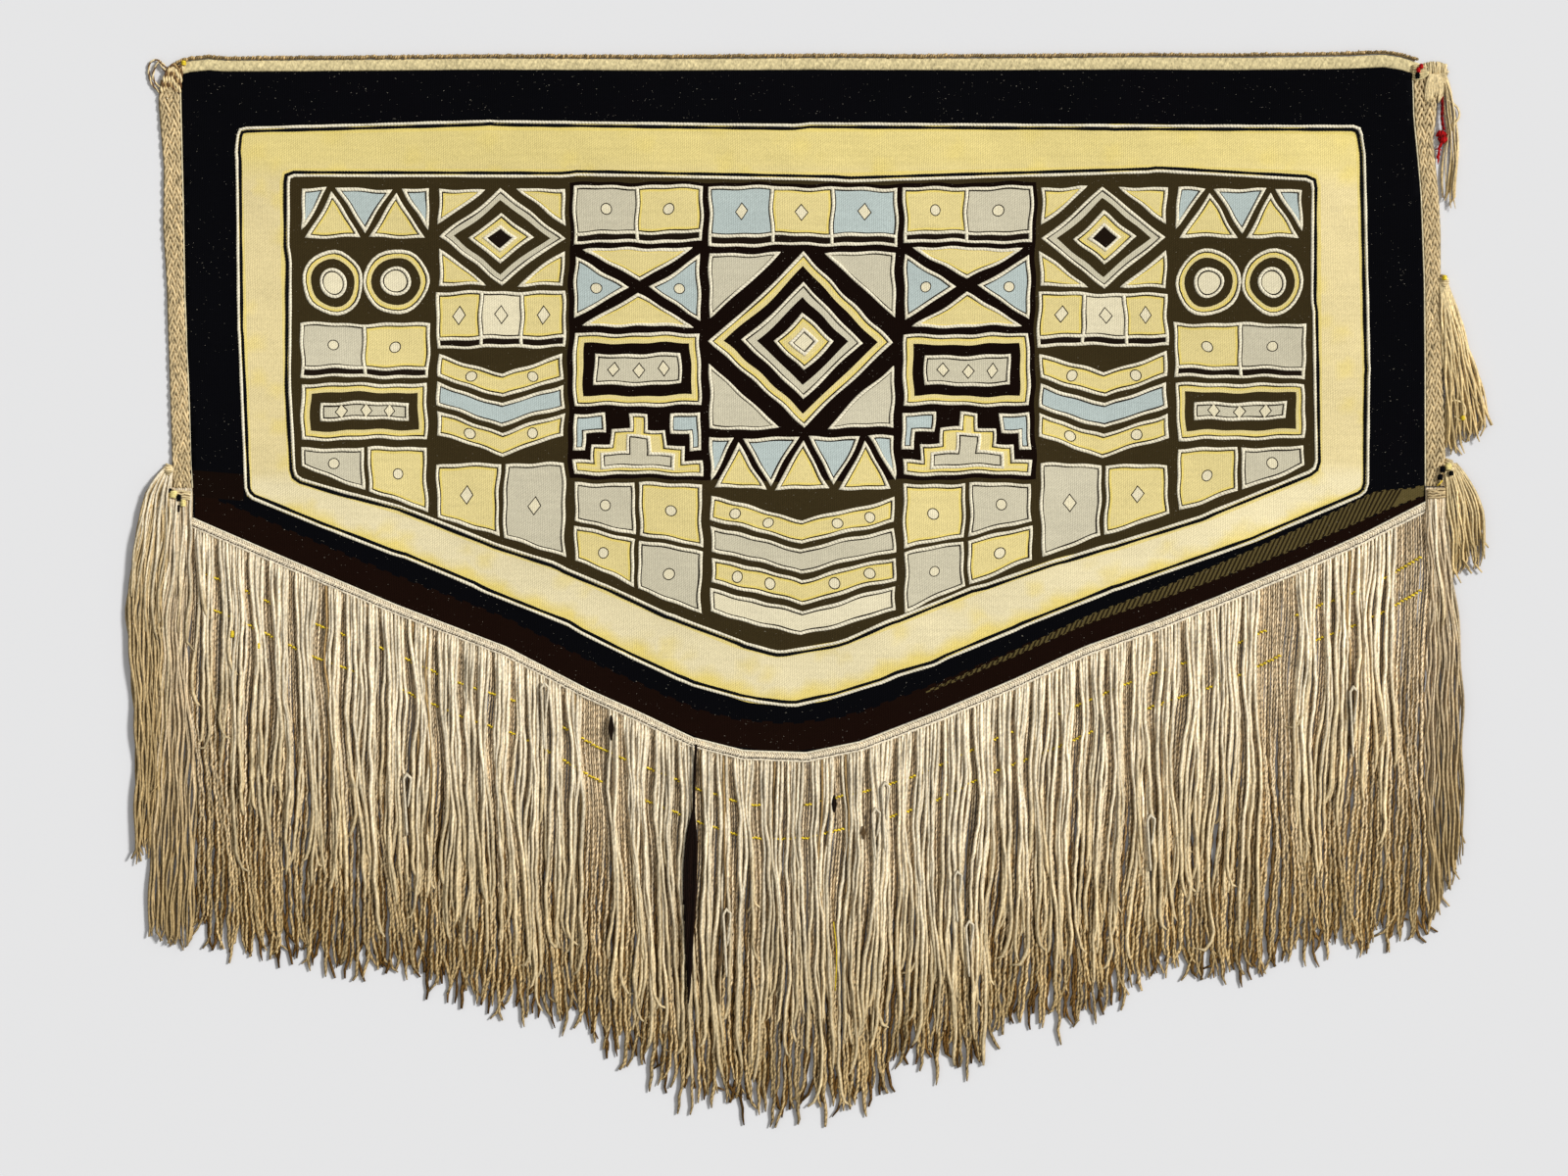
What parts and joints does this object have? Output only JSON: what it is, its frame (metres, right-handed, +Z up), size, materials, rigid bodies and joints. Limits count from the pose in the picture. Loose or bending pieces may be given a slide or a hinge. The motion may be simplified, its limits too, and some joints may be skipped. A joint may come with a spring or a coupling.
{
  "type": "chilkat blanket",
  "caption": "Five-sided woven dance robe laid flat, with framed border, cord-bound heading, plaited side bands, long bottom fringe and side tassels.",
  "frame": {"origin": "on the panel's flat underside, on its centre line", "axes": "+Z up off the face, +Y towards the heading, +X to the right as the face is looked at from above"},
  "size_m": [1.7346, 1.3584, 0.009],
  "materials": {
    "woven_wool": "twined wool, matt, in black, yellow, cream and grey-blue",
    "cream_wool": "twined cream wool, matt",
    "brown_yarn": "whipped brown yarn, matt",
    "warp_yarn": "two-ply twisted wool and bark yarn, matt",
    "red_yarn": "twisted dark red yarn, matt"
  },
  "bodies": {
    "root": {"woven_panel": "woven_wool", "heading_strip": "cream_wool", "heading_whipping": "brown_yarn", "side_braid_left": "warp_yarn", "side_braid_right": "warp_yarn", "fringe_left": "warp_yarn", "fringe_right": "warp_yarn", "tassel_left": "warp_yarn", "tassel_right_upper": "warp_yarn", "tassel_right_middle": "warp_yarn", "tassel_right_lower": "warp_yarn", "red_tie": "red_yarn", "corner_loop": "warp_yarn"}
  },
  "joints": []
}
